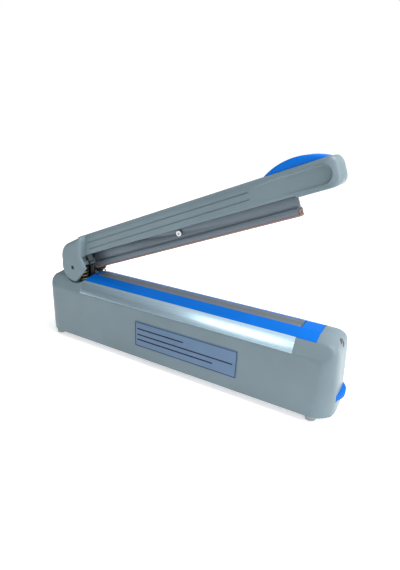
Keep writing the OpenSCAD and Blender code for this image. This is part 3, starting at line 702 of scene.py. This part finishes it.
ARM_PLACE = Matrix.Translation((PIVOT[0], 0, PIVOT[1])) @ Matrix.Rotation(math.radians(-21.4), 4, "Y")
ARM_L, CASING_TOP, CASING_LOW, HANDLE_LOW = 393.5, 40.3, 11.5, 9.0
HUB_W, ARM_W = 60.0, 40.0
SCREW_S = 181.8  # how far along the arm its middle wall and screw are


def casing_section(t, low):
    half = [(ARM_W / 2 - t, low), (ARM_W / 2 - 1.8 - t, CASING_TOP - t)]
    return rounded(half + mirrored(half), [0, 8 - t, 8 - t, 0], 8)


def casing_form():
    section = casing_section(0, 0)
    side = rounded([(14, CASING_LOW), (341, CASING_LOW), (345, HANDLE_LOW), (ARM_L, HANDLE_LOW),
                    (ARM_L, CASING_TOP), (14, CASING_TOP)], [0, 0, 0, 12, 13, 0], 10)
    edge = ARM_W / 2 + 0.01
    plan = rounded([(14, -24), (ARM_L, -edge), (ARM_L, edge), (14, 24)], [0, 19, 19, 0], 14)

    def field(x, y, z):
        d = both(depth(y, z, section), depth(x, z, side), 1.6)
        return both(d, depth(x, y, plan), 5.0 * np.clip((x - 376) / 10, 1e-4, 1))

    stations = np.concatenate([[13.5, 36, 60, 180, 300, 330, 338], np.linspace(341, 394, 36)])
    cells = (len(stations) - 1, 28, 26)
    return shaped(((13.5, 394), (-20.6, 20.6), (8.5, 41)), cells, field, (40, 372, 0, 25), stations)


def knuckle_form():
    front = [(-40, -40), (23.5, -40), (23.5, -8), (20.8, 10.5), (32, 33), (32, 60), (-40, 60)]
    back = [(7, 36), (34, 38.5), (34, -5), (7, -16)]
    lean = math.radians(27.5)
    below = [(-5 + a * math.cos(lean) - b * math.sin(lean), -22.5 + a * math.sin(lean) + b * math.cos(lean))
             for a, b in ((0, -40), (60, -40), (60, 0), (0, 0))]

    def field(x, y, z):
        d = np.minimum(np.hypot(x, z) - 23, np.hypot(x - 7, z - 11) - 25)
        d = np.minimum(d, depth(x, z, back))
        d = both(d, -depth(x, z, below), 3.0)
        d = both(d, depth(x, z, front), 1.0)
        return both(d, np.abs(y) - HUB_W / 2, 6.0)

    return shaped(((-24, 33), (-30.5, 30.5), (-24, 39.5)), (40, 44, 48), field, (5, 8, 0, 7))


def scoop(side):
    """The hollow for a finger: steep at its upper edge, running out below and rearwards."""
    mouth = rounded([(298, 14.2), (383.5, 14.2), (383.5, 35), (298, 35)], [9, 10, 10, 3], 10)

    def field(x, y, z):
        floor = 20.35 - 0.09 * (z - 14) - 0.054 * (x - 300)
        return both(depth(x, z, mouth), floor - y, 3.2)

    bm = shaped(((297, 384), (8, 26), (13.5, 35.5)), (44, 12, 20), field, (312, 370, 24, 25))
    if side < 0:
        bmesh.ops.mirror(bm, geom=bm.verts[:] + bm.edges[:] + bm.faces[:], axis="Y", merge_dist=-1)
        bmesh.ops.delete(bm, geom=[v for v in bm.verts if v.co.y > 0], context="VERTS")
        bmesh.ops.recalc_face_normals(bm, faces=bm.faces)
    return bm


def side_line(side, low, lean):
    """The tool for one fine groove along the arm, leaning a little as the arm narrows."""
    tool = prism(rounded([(0, 0), (259, 0), (259, 1.4), (0, 1.4)], [0.68] * 4, 4), "Y", 0, 4)
    spot = Matrix.Translation((34, ARM_W / 2 - 1.15 - 0.045 * low, low - 0.75))
    turn = Matrix.Rotation(math.radians(-lean), 4, "Y")
    bmesh.ops.transform(tool, matrix=spot @ turn, verts=tool.verts)
    if side < 0:
        bmesh.ops.scale(tool, vec=(1, -1, 1), verts=tool.verts)
    bmesh.ops.recalc_face_normals(tool, faces=tool.faces)
    return tool


def arm_housing():
    bm = join(knuckle_form(), casing_form())
    hollow = prism([(7, 33.4), (34, 35.9), (34, -5), (7, -16)], "Y", -26, 26)
    hollow = join(hollow, drum(20.4, (0, -26, 0), 52, (0, 1, 0)), drum(22.4, (7, -26, 11), 52, (0, 1, 0)))
    front = [(17.6, 10.5), (60, 10.5), (60, 60), (29, 60), (29, 33.5)]
    bm = cut(bm, cut(hollow, prism(front, "Y", 15.5, 30), prism(front, "Y", -30, -15.5)))
    bm = cut(bm, block((14, 40), (-15.5, 15.5), (-40, CASING_TOP - 4.5)))
    bm = cut(bm, prism(casing_section(2.4, -20), "X", 30, 337))
    grip = rounded([(11, -20), (11, 34), (-11, 34), (-11, -20)], [0, 5, 5, 0], 6)
    bm = cut(bm, prism(grip, "X", 336, ARM_L - 16))
    bm = cut(bm, block((-60, 60), (-26, 26), (-40, -9)))
    for side in (-1, 1):
        span = sorted((side * 13.2, side * 26.5))
        bm = join(bm, drum(4, (13, span[0], 1), 13.3, (0, 1, 0), 40), block((11.5, 14.5), span, (1, 34.5)))
    bm = join(bm, drum(3, (9, -4.7, -1), 9.4, (0, 1, 0), 32), block((7.5, 10.5), (-4.7, 4.7), (-1, 34.5)))
    for s in (80, SCREW_S, 290):
        wall = block((s - 1.2, s + 1.2), (-18, 18), (12.5, 38.3))
        wall = share(wall, prism(casing_section(1, 0), "X", s - 2, s + 2))
        wall = cut(wall, block((s - 5, s + 5), (-5.2, 5.2), (0, 22)))
        bm = join(bm, wall)
    bm = join(bm, block((175.8, 187.8), (-2.4, 2.4), (2, 30)))
    for s in (352, 364):
        bm = join(bm, block((s - 1, s + 1), (-11.5, 11.5), (20, 35)))
    bm = cut(bm, drum(3.02, (0, -40, 0), 80, (0, 1, 0), 48))
    bm = cut(bm, drum(2.05, (SCREW_S, -10, 5.9), 20, (0, 1, 0), 32))
    bm = cut(bm, block((310.5, 381.5), (-13.2, 13.2), (CASING_TOP - 1.6, 60)))
    for side in (-1, 1):
        for low, lean in ((18.9, 0.5), (27.9, 0.25)):
            bm = cut(bm, side_line(side, low, lean))
        bm = cut(bm, scoop(side))
    return fit(to_object(bm, "arm_housing", place=ARM_PLACE), "arm", "housing", "arm_casing")


def soft_pad():
    """The blue crescent on the handle, with soft edges all round its crown."""
    crown, r = 49.4, 71.2

    def field(x, y, z):
        d = both(np.hypot(x - 346, z - crown + r) - r, np.abs(y) - 13, 5.0)
        return np.maximum(d, CASING_TOP - 1.5 - z)

    bm = shaped(((310, 382), (-13.2, 13.2), (38.5, 50)), (60, 24, 10), field, (318, 374, 0, 39.5))
    return fit(to_object(bm, "pad", place=ARM_PLACE), "arm", "blue_plastic", "handle_pad")


def plate_place():
    tilt = Matrix.Rotation(-math.atan2((BODY_W - SHOULDER_W) / 2, SHOULDER_Z), 4, "X")
    return Matrix.Translation((26.5, -BODY_W / 2, 0)) @ tilt @ Matrix.Translation((0, 0, 46))


def add(bm, other):
    """Two separate shells in one mesh."""
    mesh = bpy.data.meshes.new("added")
    other.to_mesh(mesh)
    other.free()
    bm.from_mesh(mesh)
    bpy.data.meshes.remove(mesh)
    return bm


def plate_panel(x, z, r, steps, face, back):
    """A flat rounded panel, half as wide as x and half as high as z, standing out of the plate."""
    return prism(rounded([(-x, -z), (x, -z), (x, z), (-x, z)], [r] * 4, steps), "Y", face, back)


def printed_rule(x, z, thick):
    """A printed line on the plate, as a shallow bar with round ends."""
    ends = thick / 2 * 0.98
    outline = rounded([(x[0], z), (x[1], z), (x[1], z + thick), (x[0], z + thick)], [ends] * 4, 4)
    return prism(outline, "Y", -0.62, -0.4)


def data_plate():
    bm = plate_panel(77.5, 19, 1.5, 6, -0.6, -0.02)
    break_edges(bm, [e for e in bm.edges if e.calc_face_angle(0) > 1.2], 0.15, clamp=False)
    fit(to_object(bm, "plate", place=plate_place()), "base", "plate_face", "data_plate")
    frame_line = cut(plate_panel(76.5, 18, 1.2, 6, -0.64, -0.4), plate_panel(75.6, 17.1, 0.6, 6, -1, 0))
    fit(to_object(frame_line, "plate_frame", place=plate_place()), "base", "plate_ink")
    rules = bmesh.new()
    for x, z in (((-73.5, 0.5), 7.2), ((-73.5, 71.5), -1.5), ((-73.5, 44), -9.0)):
        rules = add(rules, printed_rule(x, z, 1.9))
    fit(to_object(rules, "plate_rules", place=plate_place()), "base", "plate_ink")


def pressing_bar():
    """The extruded bar with its channel, and the fine groove where the web meets it."""
    bm = bmesh.new()
    bm.from_mesh(NODES["press_bar"].data)
    bmesh.ops.scale(bm, vec=(1 / MM,) * 3, verts=bm.verts)
    bmesh.ops.transform(bm, matrix=ARM_PLACE.inverted(), verts=bm.verts)
    bmesh.ops.remove_doubles(bm, verts=bm.verts, dist=2e-3)
    bmesh.ops.dissolve_limit(bm, angle_limit=FLAT, verts=bm.verts, edges=bm.edges)
    for side in (-1, 1):
        bm = cut(bm, block((18, 342), sorted((side * 3.9, side * 6)), (-2.15, -0.75)))
    bmesh.ops.dissolve_limit(bm, angle_limit=FLAT, verts=bm.verts, edges=bm.edges)
    sharp = [e for e in bm.edges if len(e.link_faces) == 2 and e.calc_face_angle(0) > 0.6]
    break_edges(bm, sharp, 0.25)
    return fit(to_object(bm, "pressing_bar", place=ARM_PLACE), "arm", "bar_aluminium", "press_bar")


def return_coils():
    """Two round-wire springs, each with a closed turn at both ends."""
    wire, reach, steps = 1.8, 4.6, 32
    start = Matrix.Translation((reach, 0, SPRING_LOW + wire / 2)) @ Matrix.Rotation(math.radians(90), 4, "X")
    pair = bmesh.new()
    for side in (-1, 1):
        coil = bmesh.new()
        bmesh.ops.create_circle(coil, cap_ends=False, segments=12, radius=wire / 2)
        bmesh.ops.transform(coil, matrix=start, verts=coil.verts)
        live = coil.verts[:] + coil.edges[:]
        for turns, pitch in ((1, 1.85), (4, 4.85), (1, 1.85)):
            wound = bmesh.ops.spin(coil, geom=live, cent=(0, 0, 0), axis=(0, 0, 1),
                                   dvec=(0, 0, pitch / steps), angle=math.tau * turns,
                                   steps=steps * turns, use_duplicate=False)
            live = wound["geom_last"]
        bmesh.ops.holes_fill(coil, edges=[e for e in coil.edges if e.is_boundary])
        bmesh.ops.recalc_face_normals(coil, faces=coil.faces)
        bmesh.ops.translate(coil, vec=(SPRING_X, side * SPRING_Y, 0), verts=coil.verts)
        pair = add(pair, coil)
    obj = fit(to_object(pair, "return_coils", smooth_angle=50), "base", "spring_wire", "return_springs")
    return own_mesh(obj)


# ---- building -----------------------------------------------------------------------

base_housing()
arm_housing()
soft_pad()
softened("bed_frame", "bed", "base", 0.0004)
softened("trim_plate_right", "trim_sheet_right", "base", 0.0002)
softened("trim_plate_left", "trim_sheet_left", "base", 0.0002)
pressing_bar()
return_coils()
data_plate()
softened("timer_wheel", "wheel", "timer_dial", 0.0002)
softened("feet", "rubber_feet", "base", 0.0003)
softened("lamp_lens", "lens", "base", 0.0002)
softened("bar_screw", "bar_bolt", "arm", 0.0002)
softened("silicone_strip", "silicone", "arm", 0.0002)

# ---- stage and light ----------------------------------------------------------------

BRIGHT_SIDE = (0.76, 0.06, 0.65)  # the way towards the brighter half of the studio
MIDDLE_OF_PART = (0.1, 0, 0.1)


def make_stage():
    bm = bmesh.new()
    bmesh.ops.create_grid(bm, x_segments=2, y_segments=2, size=6)
    floor = to_object(bm, "floor", unit=1)
    made, tree, shader = blank("pale_floor")
    shader.inputs["Base Color"].default_value = (0.93, 0.93, 0.93, 1)
    shader.inputs["Roughness"].default_value = 0.85
    shader.inputs["Specular IOR Level"].default_value = 0.1
    shader.inputs["Emission Color"].default_value = (1, 1, 1, 1)
    shader.inputs["Emission Strength"].default_value = 0.35
    floor.data.materials.append(made)
    world = bpy.data.worlds.new("studio")
    bpy.context.scene.world = world
    world.use_nodes = True
    tree = world.node_tree
    sky = tree.nodes["Background"]
    way = tree.nodes.new("ShaderNodeTexCoord").outputs["Generated"]
    facing = put(tree, "ShaderNodeVectorMath", operation="DOT_PRODUCT", _0=way, _1=BRIGHT_SIDE)
    tree.links.new(spread(tree, facing.outputs["Value"], -0.5, 0.8, 0.22, 1.05), sky.inputs["Strength"])
    sky.inputs["Color"].default_value = (0.97, 0.985, 1.0, 1)
    plain = put(tree, "ShaderNodeBackground", Color=(1, 1, 1, 1), Strength=1.0)
    choose = put(tree, "ShaderNodeMixShader")
    tree.links.new(tree.nodes.new("ShaderNodeLightPath").outputs["Is Camera Ray"], choose.inputs[0])
    tree.links.new(sky.outputs[0], choose.inputs[1])
    tree.links.new(plain.outputs[0], choose.inputs[2])
    tree.links.new(choose.outputs[0], tree.nodes["World Output"].inputs["Surface"])


def soft_light(name, spot, size, power):
    data = bpy.data.lights.new(name, "AREA")
    data.shape = "RECTANGLE"
    data.size, data.size_y = size
    data.energy = power
    obj = bpy.data.objects.new(name, data)
    bpy.context.scene.collection.objects.link(obj)
    way = Vector(MIDDLE_OF_PART) - Vector(spot)
    obj.matrix_world = Matrix.Translation(spot) @ way.to_track_quat("-Z", "Y").to_matrix().to_4x4()


make_stage()
soft_light("right_light", (1.3, -0.05, 0.75), (0.8, 0.8), 8)
soft_light("top_light", (0.75, 0.1, 1.3), (0.9, 0.7), 17)
soft_light("front_card", (-0.1, -1.4, 0.83), (0.9, 0.45), 2.4)
bpy.context.scene.view_settings.view_transform = "Standard"
